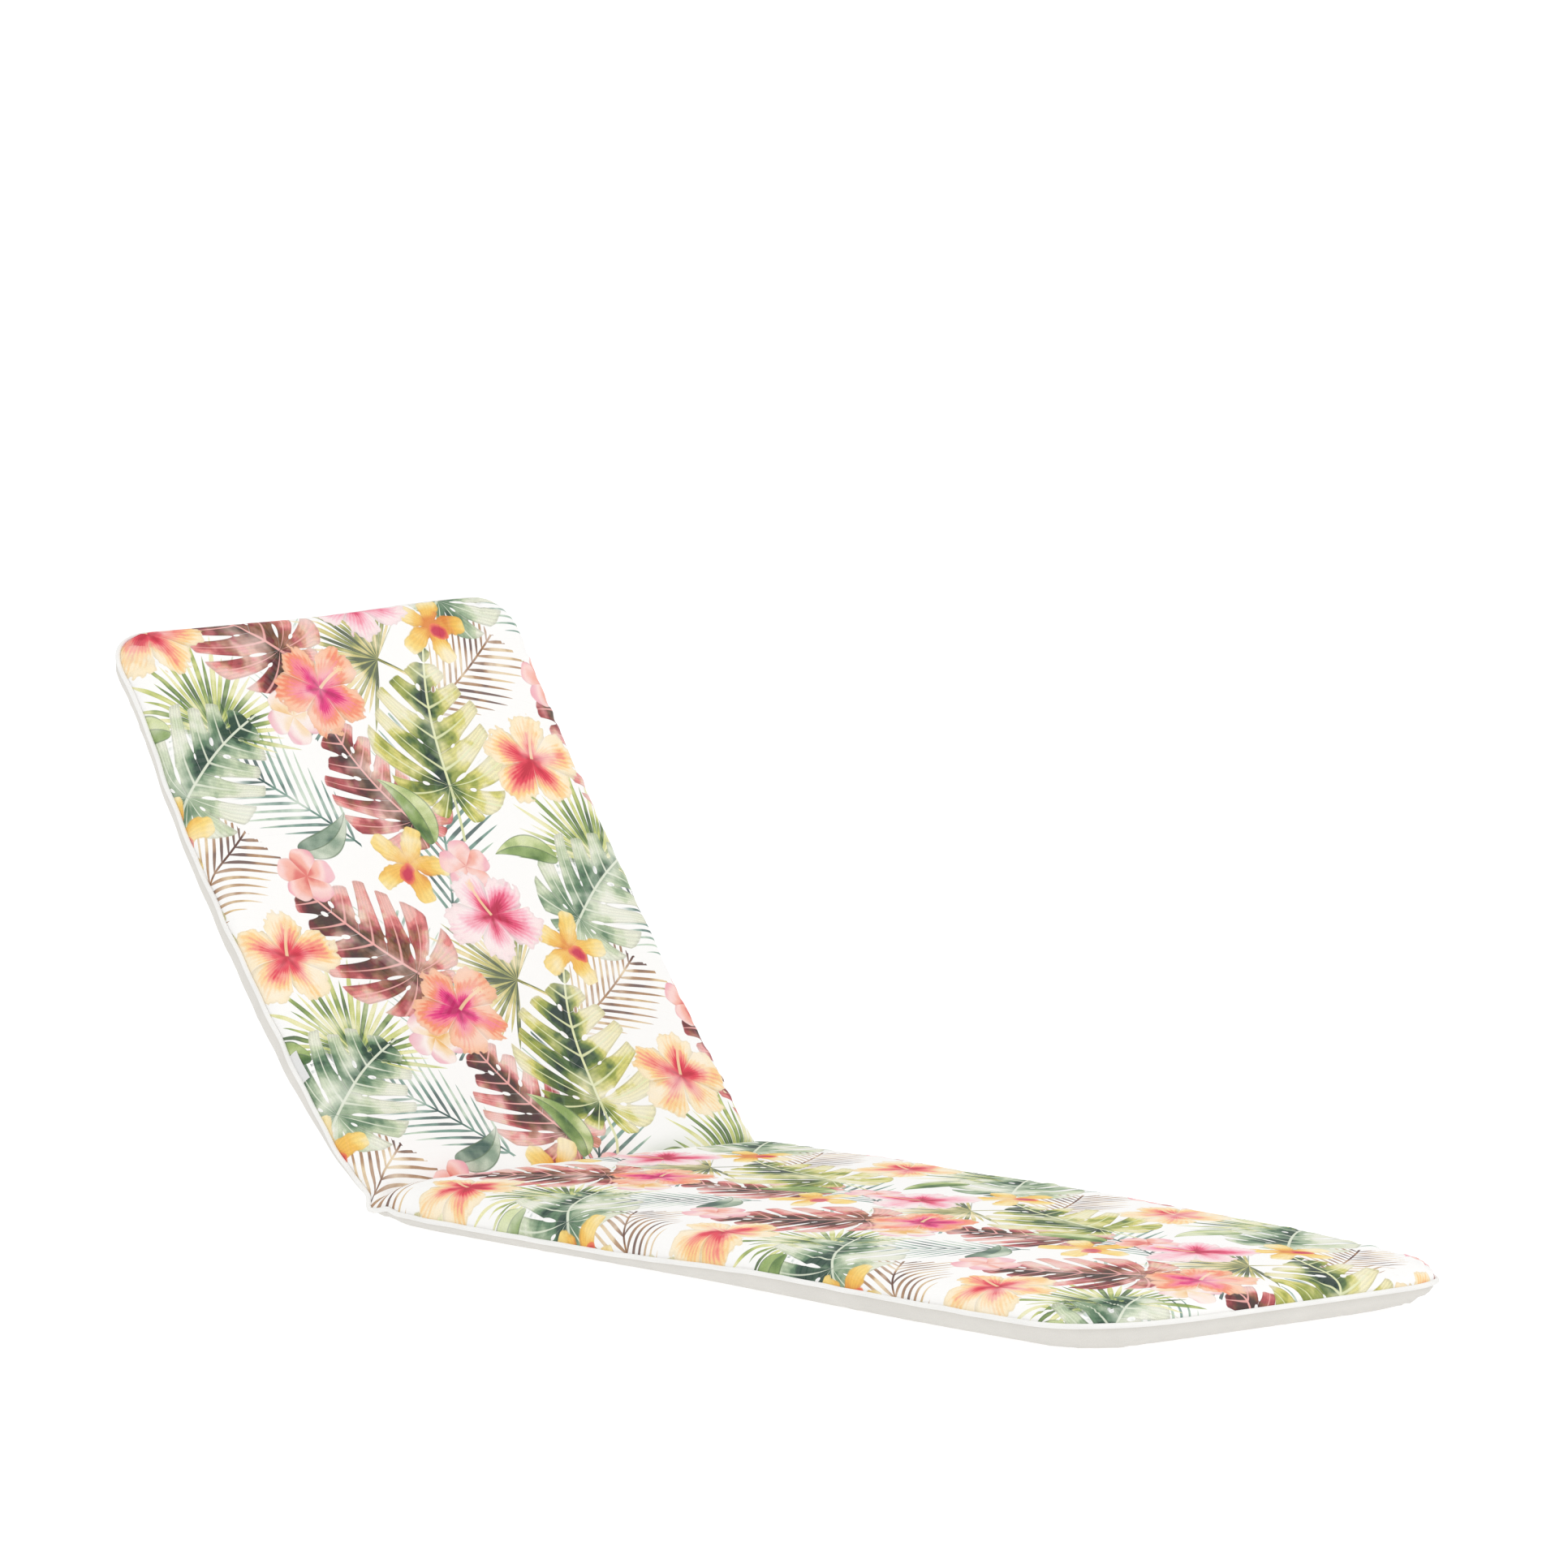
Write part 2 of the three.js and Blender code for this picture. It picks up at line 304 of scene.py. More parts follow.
def bumps(s, rows):
    """Sum of smooth bumps along the cloth, from rows of middle, reach and height."""
    return sum(height * bump(s - middle, reach) for middle, reach, height in rows)


def corner_spot(s, across, spot):
    """Share from 0 to 1 of a spot at one of the corners."""
    end_sign, side_sign, from_end, from_side, reach = spot
    length = BACK_LENGTH if end_sign == HEAD else SEAT_LENGTH
    aside = side_sign * across - WIDTH / 2 + from_side
    return bump(np.hypot(end_sign * s - length + from_end, aside), reach)


def settled(points, s, v):
    """Move points as the filling and the seams have settled, some millimetres off the plain curves."""
    across = v * half_width(s)
    from_seam = edge_distance(s, across)
    far_share = 0.5 + 0.5 * v
    face = bumps(s, SETTLED_FAR) * far_share + bumps(s, SETTLED_NEAR) * (1 - far_share)
    seam_only = 1 - smooth(from_seam / SEAM_FORWARD_WIDTH)
    forward = smooth(-s / SETTLED_START) * face + bumps(s, SEAM_FORWARD) * seam_only * smooth(-v)
    moved = points + forward[..., None] * top_direction(s, v)
    # The back is a little longer at its far side, and at its ear
    up_back = np.array([-math.cos(BACK_ANGLE), 0, math.sin(BACK_ANGLE)])
    longer = FAR_LONGER * smooth((v + 0.15) / 1.1) * smooth((-s - 0.35) / 0.45)
    moved = moved + (longer + EAR_LONGER * corner_spot(s, across, HEAD_EAR))[..., None] * up_back
    for spot, move in FACE_MOVES:
        moved = moved + corner_spot(s, across, spot)[..., None] * np.array(move)
    near_seam = 1 - smooth(from_seam / SEAM_MOVE_WIDTH)
    for spot, move in SEAM_MOVES:
        moved = moved + (near_seam * corner_spot(s, across, spot))[..., None] * np.array(move)
    # Where the hinge is sewn through, the piping is pushed out and down in a small fold
    near_edge = smooth((np.abs(v) - 0.93) / 0.07)
    for middle, reach, (along, outward, up) in HINGE_FOLDS:
        share = near_edge * bump(s - middle, reach)
        moved = moved + np.stack([along * share, outward * np.sign(v) * share, up * share], -1)
    # At the foot's far corner the under cover is drawn up to the seam
    under_share = np.clip(1 - moved[..., 2] / seam_height(s), 0, 1)
    at_foot = smooth((s - SEAT_LENGTH + 0.15) / 0.05)
    moved[..., 2] += UNDER_RAISED * corner_spot(s, across, FOOT_FAR_CORNER) * under_share * at_foot
    # The seam isn't quite straight, but at the corners it is held
    held = smooth((SEAT_LENGTH - 0.1 - s) / 0.05) * smooth((s + BACK_LENGTH - 0.07) / 0.05)
    unsteady = np.sin(s * 61 + 2 * v) + np.sin(s * 97 + 1.3 + v)
    moved[..., 1] += WAVER * unsteady * near_edge * smooth(np.abs(s) / 0.08) * held
    # Under the middle of the seat the edge is lifted by the fuller filling
    moved[..., 2] += bumps(s, SEAT_EDGE_LIFT) * smooth((np.abs(v) - 0.80) / 0.15)
    return moved


def waves(place, lengths, seed):
    """Sum of sines of the given wave lengths, with fixed phases, from about -1 to 1."""
    phases = np.random.default_rng(seed).uniform(0, 2 * math.pi, len(lengths))
    total = sum(np.sin(2 * math.pi * place / length + phase) for length, phase in zip(lengths, phases))
    return total / math.sqrt(len(lengths))


def seam_place(s, v):
    """Length along the seam round the panel, near enough for puckers that run in from it."""
    along, length, corner = section_at(s)
    across = v * half_width(s)
    side, end = past_corner(s, across)
    turn = np.arctan2(np.maximum(end, 0), np.maximum(side, TINY))
    straight_side = along + corner * turn * smooth(end / 0.01)
    straight_end = length + corner * math.pi / 2 + side_half(s) - np.abs(across)
    at_end = (end > side) & ((end <= 0) | (side <= 0))
    return np.where(at_end, straight_end, straight_side)


def softness(s, v, seed, under):
    """How far the cloth lies off the plain face, from uneven filling and from puckers at the seams."""
    across = v * half_width(s)
    from_seam = edge_distance(s, across)
    along, length, _ = section_at(s)
    filling = waves(s + 0.35 * across, (0.31, 0.47, 0.23), seed)
    filling = filling * waves(across - 0.2 * s, (0.27, 0.42, 0.19), seed + 1)
    # The far side's puckers differ from the near side's
    along_seam = seam_place(s, v) + np.where(v < 0, 0.0, 3.1)
    pucker = waves(along_seam, (0.021, 0.029, 0.037, 0.052), seed + 2)
    pucker = pucker * waves(along_seam, (0.17, 0.26), seed + 3)
    at_seam = smooth(from_seam / 0.006) * (1 - smooth((from_seam - 0.006) / 0.045))
    at_corner = bump(length - along - 0.03, 0.09) * bump(np.abs(across) - WIDTH / 2 + 0.03, 0.09)
    gather = waves(across, (0.034, 0.047, 0.073), seed + 4) * waves(across, (0.21, 0.33), seed + 5)
    at_hinge = 1 - smooth(np.abs(s) / 0.075)
    filled, puckered, corner_puckered, gathered = UNDER_UNEVENNESS if under else TOP_UNEVENNESS
    if under:
        # Under the seat it lies flat
        filling = filling * smooth(-s / 0.15)
    uneven = (filled * filling + gathered * gather * at_hinge) * smooth(from_seam / 0.03)
    uneven = uneven + (puckered + corner_puckered * at_corner) * pucker * at_seam
    if not under:
        return uneven
    # Beside the seam of the lower back's near side it is filled out a little more
    beside_seam = smooth(from_seam / 0.006) * (1 - smooth((from_seam - 0.020) / 0.030))
    return uneven + bumps(s, FULLER_NEAR) * beside_seam * smooth(-v)


def face_normals(points):
    normals = np.cross(np.gradient(points, axis=0), np.gradient(points, axis=1))
    return normals / np.maximum(norm(normals, axis=-1, keepdims=True), TINY)


def softened(points, s, v, seed, under=False):
    outward = -1 if under else 1
    return points + outward * softness(s, v, seed, under)[..., None] * face_normals(points)


def running_sum(steps):
    return np.concatenate([[0], np.cumsum(steps)])


def step_lengths(points):
    return norm(np.diff(points, axis=0), axis=-1)


def even_places(place, low, high, count):
    """Values between low and high at which place's points lie evenly along the cloth."""
    dense = np.linspace(low, high, DENSE)
    run = running_sum(step_lengths(place(dense)))
    return np.interp(np.linspace(0, run[-1], count + 1), run, dense)


def cover_grid():
    rows_back = even_places(middle_line, -BACK_LENGTH, BACK_START, BACK_ROWS)
    rows_seat = even_places(middle_line, 0, SEAT_LENGTH, SEAT_ROWS)
    middle = SEAT_LENGTH / 2
    half = even_places(lambda v: top_point(np.full_like(v, middle), v), 0, 1, COLUMNS // 2)
    lengths = np.concatenate([rows_back[:-1], rows_seat])
    places = np.concatenate([-half[:0:-1], half])
    return np.meshgrid(lengths, places, indexing="ij")


def grid_quads(grid):
    return np.stack([grid[:-1, :-1], grid[1:, :-1], grid[1:, 1:], grid[:-1, 1:]], -1).reshape(-1, 4)


def tube_rings(line, radii, first, second, sides):
    """Ring of points round each point of a line, in the plane of two directions."""
    turns = 2 * math.pi * np.arange(sides)[:, None] / sides
    around = np.cos(turns) * first[:, None] + np.sin(turns) * second[:, None]
    return line[:, None] + np.reshape(radii, (-1, 1, 1)) * around


def new_mesh(name, points, faces, materials, smooth_shaded=True):
    mesh = bpy.data.meshes.new(name)
    mesh.from_pydata([tuple(point) for point in points], [], [[int(i) for i in face] for face in faces])
    for material in materials:
        mesh.materials.append(material)
    if smooth_shaded:
        mesh.polygons.foreach_set("use_smooth", np.ones(len(mesh.polygons), bool))
    mesh.validate()
    piece = bpy.data.objects.new(name, mesh)
    scene.collection.objects.link(piece)
    return piece


class Value:
    """A number or a colour that the shader works out at each point, with ordinary arithmetic."""

    def __init__(self, socket):
        self.socket = socket

    def __add__(self, other):
        return math_node("ADD", self, other)

    __radd__ = __add__

    def __sub__(self, other):
        return math_node("SUBTRACT", self, other)

    def __rsub__(self, other):
        return math_node("SUBTRACT", other, self)

    def __mul__(self, other):
        return math_node("MULTIPLY", self, other)

    __rmul__ = __mul__

    def __truediv__(self, other):
        return math_node("DIVIDE", self, other)


class Shader:
    """The material that the functions below add nodes to."""

    tree = None

    @classmethod
    def node(cls, kind):
        return cls.tree.nodes.new(kind)

    @classmethod
    def feed(cls, socket, value):
        if isinstance(value, Value):
            cls.tree.links.new(value.socket, socket)
        else:
            socket.default_value = value


def new_material(name, roughness):
    """Material that the functions below then add nodes to, and its shader."""
    material = bpy.data.materials.new(name)
    material.use_nodes = True
    Shader.tree = material.node_tree
    shader = material.node_tree.nodes["Principled BSDF"]
    shader.inputs["Roughness"].default_value = roughness
    return material, shader


def plain_material(name, tone, roughness):
    material, shader = new_material(name, roughness)
    shader.inputs["Base Color"].default_value = (*tone, 1)
    return material


def math_node(operation, *values, clamped=False):
    node = Shader.node("ShaderNodeMath")
    node.operation = operation
    node.use_clamp = clamped
    for socket, value in zip(node.inputs, values):
        Shader.feed(socket, value)
    return Value(node.outputs[0])


def sine(x):
    return math_node("SINE", x)


def absolute(x):
    return math_node("ABSOLUTE", x)


def root(x):
    return math_node("SQRT", x)


def power(x, exponent):
    return math_node("POWER", x, exponent)


def larger(x, other):
    return math_node("MAXIMUM", x, other)


def whole(x):
    return math_node("FLOOR", x)


def arc(y, x):
    return math_node("ARCTAN2", y, x)


def clamp(x):
    return math_node("ADD", x, 0.0, clamped=True)


def rise(x, low, high):
    """Smooth step from 0 at low to 1 at high."""
    node = Shader.node("ShaderNodeMapRange")
    node.interpolation_type = "SMOOTHSTEP"
    Shader.feed(node.inputs["Value"], x)
    Shader.feed(node.inputs["From Min"], low)
    Shader.feed(node.inputs["From Max"], high)
    return Value(node.outputs["Result"])


def fall(x, low, high):
    """Smooth step from 1 at low to 0 at high."""
    return 1 - rise(x, low, high)


def colour(values):
    """Linear colour from sRGB values of 0 to 255."""
    shares = np.array(values) / 255
    linear = np.where(shares <= 0.04045, shares / 12.92, ((shares + 0.055) / 1.055) ** 2.4)
    return (*(float(x) for x in linear), 1.0)


def mix(first, second, share):
    """Mixed colour. The node's sockets 6 and 7, and its output 2, are those for colours."""
    node = Shader.node("ShaderNodeMix")
    node.data_type = "RGBA"
    Shader.feed(node.inputs["Factor"], share)
    Shader.feed(node.inputs[6], first)
    Shader.feed(node.inputs[7], second)
    return Value(node.outputs[2])


def scale(tint, amount):
    node = Shader.node("ShaderNodeVectorMath")
    node.operation = "SCALE"
    Shader.feed(node.inputs[0], tint)
    Shader.feed(node.inputs["Scale"], amount)
    return Value(node.outputs[0])


def attribute(name):
    node = Shader.node("ShaderNodeAttribute")
    node.attribute_name = name
    return Value(node.outputs["Vector"])


def parts(vector):
    node = Shader.node("ShaderNodeSeparateXYZ")
    Shader.feed(node.inputs[0], vector)
    return [Value(output) for output in node.outputs]


def plain_noise(vector, size, detail):
    node = Shader.node("ShaderNodeTexNoise")
    node.noise_dimensions = "2D"
    Shader.feed(node.inputs["Vector"], vector)
    node.inputs["Scale"].default_value = size
    node.inputs["Detail"].default_value = detail
    return Value(node.outputs[0])


def noise(vector, size, detail, contrast=2.0):
    """Cloudy value from about 0 to 1, with size features per metre."""
    return clamp((plain_noise(vector, size, detail) - 0.5) * contrast + 0.5)


# The print is drawn by formulas. Colours are sRGB values from 0 to 255. In a motif, u runs along its
# length and w across it, both as shares of that length, and the other numbers are its proportions
GROUND = (252, 251, 249)
HALF_TURN = 3.1416
PETAL_TURN = 1.2566
THINNING = 0.32
COVERING = 0.97
PRINT_BRIGHTNESS = 0.93

# A place in the repeat: right, up, turn in degrees clockwise from up, length, tone
REPEAT_ACROSS = 0.48
REPEAT_UP = 0.45
REPEATS_ACROSS = 3
REPEATS_UP = 6
MOTIF_REACH = 0.3
LAYOUT = {
    "frond": [
        (0.055, 0.030, 24, 0.28, 0), (0.310, 0.345, -40, 0.26, 0), (0.400, 0.020, 10, 0.22, 0),
        (0.180, 0.225, 66, 0.23, 1),
    ],
    "fan": [(0.268, 0.012, 16, 0.150, 0), (0.012, 0.290, -58, 0.135, 1)],
    "monstera_low": [(0.235, 0.372, 56, 0.165, 1), (0.462, 0.322, -24, 0.160, 2)],
    "monstera": [(0.098, 0.152, 14, 0.190, 0), (0.352, 0.118, -38, 0.185, 2)],
    "leaf": [(0.008, 0.062, -24, 0.105, 0), (0.352, 0.262, 62, 0.095, 1), (0.150, 0.437, -80, 0.090, 0)],
    "orchid": [(0.452, 0.212, 30, 0.056, 0), (0.150, 0.300, -50, 0.054, 0)],
    "plumeria": [(0.300, 0.212, 10, 0.040, 0), (0.375, 0.425, 40, 0.040, 1), (0.052, 0.425, 75, 0.038, 0)],
    "hibiscus": [
        (0.222, 0.108, 15, 0.074, 0), (0.428, 0.008, 50, 0.072, 1), (0.058, 0.355, -25, 0.072, 2),
    ],
}


def ramp(t, *colours):
    """Colour at t from 0 to 1 along evenly spaced colours."""
    steps = len(colours) - 1
    mixed = colour(colours[0])
    for number in range(steps):
        mixed = mix(mixed, colour(colours[number + 1]), rise(t, number / steps, (number + 1) / steps))
    return mixed


def thinned(tint, wash):
    """Watercolour lets the white cloth through where it has run thin."""
    return mix(tint, colour(GROUND), rise(wash, 0.40, 0.95) * THINNING)


def by_tone(tone, *colours):
    mixed = colours[0]
    for number, other in enumerate(colours[1:]):
        mixed = mix(mixed, other, rise(tone, number + 0.4, number + 0.6))
    return mixed


def monstera(u, w, tone, wash, blot, grain):
    """Split leaf: ribs fan out from the stalk's joint, then leave the midrib one by one."""
    w = w + 0.05 * sine(u * 3)
    y = absolute(w)
    r = root(u * u + y * y)
    cosine = u / larger(r, 0.001)
    outline = 0.46 + 0.22 * cosine + 0.02 * (2 * cosine * cosine - 1)
    turn = arc(y, u)
    outline = outline + 0.30 * power(2.718, turn * -2.9)
    outline = outline * rise(HALF_TURN - turn, -0.05, 0.40)
    forward = u - 0.75 * y * y
    foot = larger(forward - 0.55 * y, 0)
    fan = larger(arc(y, forward) - 1.068, 0)
    rib = fan / 0.66 - foot / 0.225 + 20
    lobe = whole(rib)
    side = absolute(rib - lobe - 0.5) * 2
    reach = root((u - foot) * (u - foot) + y * y) / (0.53 - 0.45 * foot)
    nearest = whole(rib + 0.5)
    start = 0.42 + 0.12 * sine(nearest * 2.4 + tone * 2)
    slit = root(clamp((reach - start) / 0.8)) * 0.40
    hole_width = 0.17 + 0.07 * sine(nearest * 1.9)
    hole_length = 0.085 + 0.040 * sine(nearest * 2.6)
    hole_reach = 0.30 + 0.045 * sine(nearest * 3.7 + tone * 2)
    hole = root(power((1 - side) / hole_width, 2) + power((reach - hole_reach) / hole_length, 2))
    lobe_length = 1 + 0.045 * sine(lobe * 3.7 + tone * 4)
    edge = r / outline * lobe_length * (1 + 0.12 * power(side, 4)) + (blot - 0.5) * 0.03
    solid = fall(side + slit, 0.97, 1.03) * rise(hole, 0.9, 1.1)
    body = fall(edge, 0.985, 1.0) * solid
    stalk = fall(absolute(w + 0.12 * u * u), 0.008, 0.013) * rise(u, -0.42, -0.40) * fall(u, -0.01, 0.0)
    half = rise(w, -0.02, 0.02)
    light = clamp(reach * 0.88 + (wash - 0.5) * 1.3 + half * 0.26 + 0.12 - 0.34 * u + 0.12 * power(side, 3))
    green = ramp(light, (36, 60, 50), (84, 112, 60), (160, 170, 78), (222, 216, 122), (244, 236, 186))
    sage = ramp(light, (46, 76, 62), (100, 134, 102), (160, 182, 148), (208, 220, 186), (236, 238, 216))
    wine = ramp(light - 0.10, (72, 28, 34), (120, 42, 46), (182, 78, 82), (236, 140, 136), (248, 204, 190))
    moss = ramp(light, (60, 62, 34), (142, 132, 70), (226, 210, 150))
    wine = mix(wine, moss, rise(blot - 0.5 * reach, 0.10, 0.42) * 0.35)
    tint = by_tone(tone, green, sage, wine)
    veins = by_tone(tone, colour((227, 231, 180)), colour((222, 229, 207)), colour((240, 172, 166)))
    fine = 0.86 + 0.28 * (0.5 + 0.5 * sine(rib * 44 + wash * 8)) * 0.5
    tint = scale(tint, fine * (0.90 + 0.20 * grain))
    tint = scale(tint, 1 - 0.22 * larger(rise(edge, 0.92, 0.99), rise(side + slit, 0.80, 0.96)))
    rib_width = 0.085 * (1.05 - clamp(reach))
    lines = fall(side, rib_width * 0.6, rib_width + 0.05) * 0.9
    midrib = fall(y, 0.006, 0.0135 - 0.004 * clamp(u))
    lines = larger(lines, midrib * rise(u, -0.01, 0.01))
    tint = mix(tint, veins, larger(lines, stalk * 0.85))
    # Holes and the inner ends of the slits show bare cloth
    tint = mix(colour(GROUND), tint, larger(solid, stalk))
    return larger(larger(body, stalk), fall(edge, 0.55, 0.85)), tint


def frond(u, w, tone, wash, blot, grain):
    """Feather palm leaf with narrow leaflets in pairs."""
    w = w + 0.16 * u * u
    y = absolute(w)
    foot = u - 1.20 * y + 0.45 * y * y
    count = foot / 0.062 + 20
    leaflet = whole(count)
    side = absolute(count - leaflet - 0.5) * 2
    reach = y / (0.05 + 0.44 * root(clamp(foot + 0.05) * clamp(1.03 - foot)))
    reach = reach * (1 + 0.10 * sine(leaflet * 5.1 + rise(w, 0, 0.001) * 2))
    width = 0.54 * root(clamp(reach * 5 + 0.1)) * root(clamp(1 - reach))
    blade = fall(side - width, -0.09, 0.03) * rise(foot, 0.0, 0.03) * fall(foot, 0.97, 1.0)
    stalk = fall(y, 0.004, 0.008) * rise(u, -0.12, -0.11) * fall(u, 0.97, 0.98)
    light = clamp(reach * 0.60 + (wash - 0.5) * 1.5 + 0.26 + 0.18 * sine(leaflet * 1.7))
    blue = ramp(light, (48, 82, 78), (104, 146, 130), (180, 204, 178))
    brown = ramp(light, (92, 54, 42), (168, 122, 74), (222, 190, 132))
    tint = by_tone(tone, blue, brown)
    tint = scale(tint, 0.90 + 0.2 * grain)
    return larger(blade * 0.92, stalk), tint


def fan_palm(u, w, tone, wash, blot, grain):
    """Fan palm leaf: narrow blades round a joint, split along the outer half."""
    r = root(u * u + w * w)
    turn = arc(w, u)
    count = turn / 0.125 + 40
    blade = whole(count)
    side = absolute(count - blade - 0.5) * 2
    length = 0.86 + 0.12 * sine(blade * 2.7) - 0.10 * absolute(turn)
    reach = r / length
    width = 1.25 - 1.22 * power(clamp(reach), 1.6)
    spread = fall(absolute(turn), 1.75, 1.8)
    body = fall(side - width, -0.10, 0.02) * fall(reach, 0.97, 1.0) * spread
    stalk = fall(absolute(w + 0.15 * u * u), 0.012, 0.02) * rise(u, -0.55, -0.53) * fall(u, 0, 0.01)
    light = clamp(0.48 + reach * 0.30 + (wash - 0.5) * 1.2 + 0.35 * sine(blade * 4.3) - 0.25 * side)
    fresh = ramp(light, (60, 92, 42), (126, 152, 66), (198, 204, 114), (234, 230, 170))
    olive = ramp(light, (72, 86, 50), (144, 150, 82), (208, 196, 120), (238, 218, 160))
    tint = by_tone(tone, fresh, olive)
    return larger(body * 0.95, stalk), scale(tint, 0.92 + 0.16 * grain)


def folded_leaf(u, w, tone, wash, blot, grain):
    """Single lance-shaped leaf, folded along its midrib, with a darker outline."""
    w = w - 0.16 * u * (1 - u) * 4 + 0.08
    along = clamp(u)
    width = 0.52 * root(along) * (1 - along) + 0.001
    side = absolute(w) / width
    body = fall(side, 0.94, 1.02) * rise(u, 0, 0.01) * fall(u, 0.99, 1)
    half = rise(w, -0.01, 0.01)
    light = clamp(0.34 + 0.40 * half + (wash - 0.5) * 1.1 + 0.25 * along)
    pale = ramp(light, (72, 106, 60), (144, 170, 100), (210, 220, 160))
    grey = ramp(light, (70, 98, 88), (138, 160, 138), (202, 212, 190))
    tint = by_tone(tone, pale, grey)
    dark = larger(rise(side, 0.84, 0.92) * 0.7, fall(absolute(w), 0.004, 0.012) * 0.7)
    tint = mix(tint, colour((96, 117, 87)), dark)
    return body, scale(tint, 0.90 + 0.2 * grain)


def petal_places(u, w):
    """Place in a flower of five petals: how far out, the turn, the petal and the place across it."""
    turn = arc(w, u) + HALF_TURN
    count = turn / PETAL_TURN
    petal = whole(count)
    return root(u * u + w * w), turn, petal, count - petal - 0.5


def petals(u, w, breadth, ruffle):
    """Five petals: how far out, how far to the side of its own petal, and the turn in it and in all."""
    r, turn, _, across = petal_places(u, w)
    inside = across * PETAL_TURN
    side = r * absolute(sine(inside))
    width = breadth * power(clamp(r), 0.75) * power(clamp(1.02 - r), 0.35) + 0.001
    return r, side / width + ruffle, inside, turn


def hibiscus(u, w, tone, wash, blot, grain):
    """Open flower with five ruffled petals that overlap, a deep throat and a long pistil."""
    r, turn, petal, inside = petal_places(u, w)
    frill = 0.020 * sine(turn * 17 + blot * 7) + 0.014 * sine(turn * 41 + wash * 5) + (blot - 0.5) * 0.20
    uneven = 0.07 * sine(petal * 2.3 + tone * 2 + 1)
    outline = 0.92 + uneven - 1.7 * power(absolute(inside + 0.05 * sine(petal * 1.9)), 2.5) + frill
    edge = r / outline
    body = fall(edge, 0.97, 1.0)
    streak = 0.5 + 0.5 * sine(turn * 52 + wash * 9)
    middle = 1 - 2 * absolute(inside)
    streaks = (streak - 0.5) * (0.08 + 0.10 * edge)
    light = clamp(edge * 1.22 + (wash - 0.5) * 0.6 + streaks - 0.26 * middle * middle + 0.02)
    peach = ramp(light, (196, 18, 52), (230, 56, 80), (248, 150, 130), (252, 210, 146), (253, 234, 196))
    coral = ramp(light, (190, 16, 96), (232, 50, 128), (248, 138, 150), (246, 146, 112), (250, 192, 156))
    rose = ramp(light, (188, 24, 72), (232, 78, 120), (248, 160, 180), (250, 204, 214), (252, 230, 230))
    tint = by_tone(tone, peach, coral, rose)
    overlap = fall(0.5 - inside, 0.0, 0.16) * rise(edge, 0.18, 0.45)
    tint = scale(tint, 1 - 0.20 * overlap)
    seam = fall(0.5 - absolute(inside), 0.0, 0.018) * rise(edge, 0.2, 0.5)
    tint = mix(tint, colour((252, 234, 218)), seam * 0.6)
    tint = scale(tint, (0.95 + 0.10 * grain) * (1 - 0.10 * rise(edge, 0.90, 0.98)))
    bent = absolute(w - 0.25 * u * u)
    pistil = fall(bent, 0.020, 0.036) * rise(u, 0.0, 0.03) * fall(u, 0.66, 0.70)
    knob = fall(bent, 0.06, 0.085) * rise(u, 0.52, 0.55) * fall(u, 0.70, 0.74) * rise(grain, 0.42, 0.55)
    tint = mix(tint, colour((250, 218, 168)), larger(pistil * 0.8, knob * 0.9))
    return body, tint


def orchid(u, w, tone, wash, blot, grain):
    """Yellow flower with five narrower petals and a red lip."""
    r, side, _, turn = petals(u, w, 0.50, (blot - 0.5) * 0.5)
    body = fall(side, 0.90, 1.04) * fall(r, 0.97, 1.0)
    light = clamp(r * 0.9 + (wash - 0.5) * 0.9 - 0.15 * side + 0.1)
    tint = ramp(light, (230, 142, 66), (247, 195, 91), (252, 220, 131), (253, 235, 179))
    fine = 0.5 + 0.5 * sine(turn * 40)
    tint = scale(tint, (1 - 0.07 * fine) * (1 - 0.14 * rise(side, 0.72, 0.95)))
    lip = root(power((u + 0.26) / 0.27, 2) + power(w / 0.20, 2)) + (blot - 0.5) * 0.5
    red = mix(colour((204, 46, 77)), colour((240, 127, 85)), rise(lip, 0.45, 0.95))
    in_lip = fall(lip, 0.9, 1.0)
    return larger(body, in_lip), scale(mix(tint, red, in_lip), 0.95 + 0.10 * grain)


def plumeria(u, w, tone, wash, blot, grain):
    """Small flower with five rounded petals."""
    r, side, inside, _ = petals(u, w, 0.86, (blot - 0.5) * 0.12)
    body = fall(side, 0.93, 1.05) * fall(r, 0.95, 1.0)
    light = clamp(r * 0.95 + (wash - 0.5) * 0.8 + inside * 0.35)
    pink = ramp(light, (227, 119, 111), (246, 179, 162), (251, 213, 207), (242, 170, 182))
    white = ramp(light, (239, 186, 111), (249, 220, 181), (251, 235, 228), (240, 182, 193))
    tint = by_tone(tone, pink, white)
    tint = scale(tint, 1 - 0.12 * rise(side, 0.80, 0.97))
    return body, scale(tint, 0.97 + 0.06 * grain)


# In printing order, each over those before it, with where its middle lies as a share of its length
MOTIFS = {
    "frond": (frond, 0.5), "fan": (fan_palm, 0.35), "monstera_low": (monstera, 0.36),
    "monstera": (monstera, 0.36), "leaf": (folded_leaf, 0.5), "orchid": (orchid, 0),
    "plumeria": (plumeria, 0), "hibiscus": (hibiscus, 0),
}


